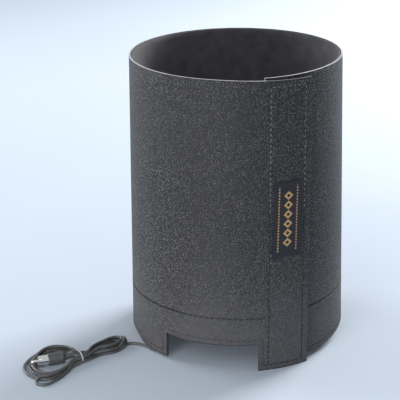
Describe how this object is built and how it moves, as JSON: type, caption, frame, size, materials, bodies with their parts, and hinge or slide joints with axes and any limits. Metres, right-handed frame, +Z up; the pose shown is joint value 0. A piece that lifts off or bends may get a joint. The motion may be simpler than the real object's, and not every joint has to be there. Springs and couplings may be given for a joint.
{
  "type": "heated dew shield",
  "caption": "Flexible plastic sheet rolled into a felt-lined tube, with a hook-and-loop flap, a rail notch, a heated lower band and a low-voltage cord with a phono plug.",
  "frame": {"origin": "on the axis of the roll, level with the foot that it stands on", "axes": "+Z up along the roll, -Y towards the rail notch, the flap's edge ahead and to the right of it at +X"},
  "size_m": [0.2861, 0.2249, 0.2605],
  "materials": {
    "pebbled_plastic": "pebble-grained black-grey sheet, satin",
    "dark_felt": "matte black-grey felt",
    "hook_tape": "black hook side of a hook-and-loop tape",
    "loop_tape": "black loop side of a hook-and-loop tape",
    "woven_tape": "pale woven glass tape",
    "resistance_wire": "bare resistance wire",
    "tinned_crimp": "tinned crimp barrel",
    "lead_red": "red insulation",
    "lead_black": "black insulation",
    "shrink_sleeve": "black shrink sleeve",
    "grey_thread": "grey polyester thread",
    "dark_thread": "dark polyester thread",
    "woven_label": "navy woven label with a plain gold pattern",
    "cord_jacket": "smooth black-grey jacket",
    "tie_wire": "clear-coated twist tie",
    "chrome_plate": "polished plate",
    "pale_insulator": "off-white moulding",
    "moulded_plastic": "black moulding, fine satin"
  },
  "bodies": {
    "root": {"outer_shell": "pebbled_plastic", "felt_liner": "dark_felt", "hook_strip": "hook_tape", "loop_strip": "loop_tape", "heater_tape": "woven_tape", "heating_wire": "resistance_wire", "crimp_left": "tinned_crimp", "crimp_right": "tinned_crimp", "lead_left": "lead_red", "lead_right": "lead_black", "joint_sleeve": "shrink_sleeve", "closure_thread": "grey_thread", "hem_thread": "dark_thread", "heater_seam_thread": "dark_thread", "woven_label": "woven_label", "cord_lead": "cord_jacket", "cord_hank": "cord_jacket", "cord_tie": "tie_wire", "plug_centre_pin": "chrome_plate", "plug_insulator": "pale_insulator", "plug_ground_shell": "chrome_plate", "plug_body": "moulded_plastic", "plug_strain_relief": "moulded_plastic"}
  },
  "joints": []
}
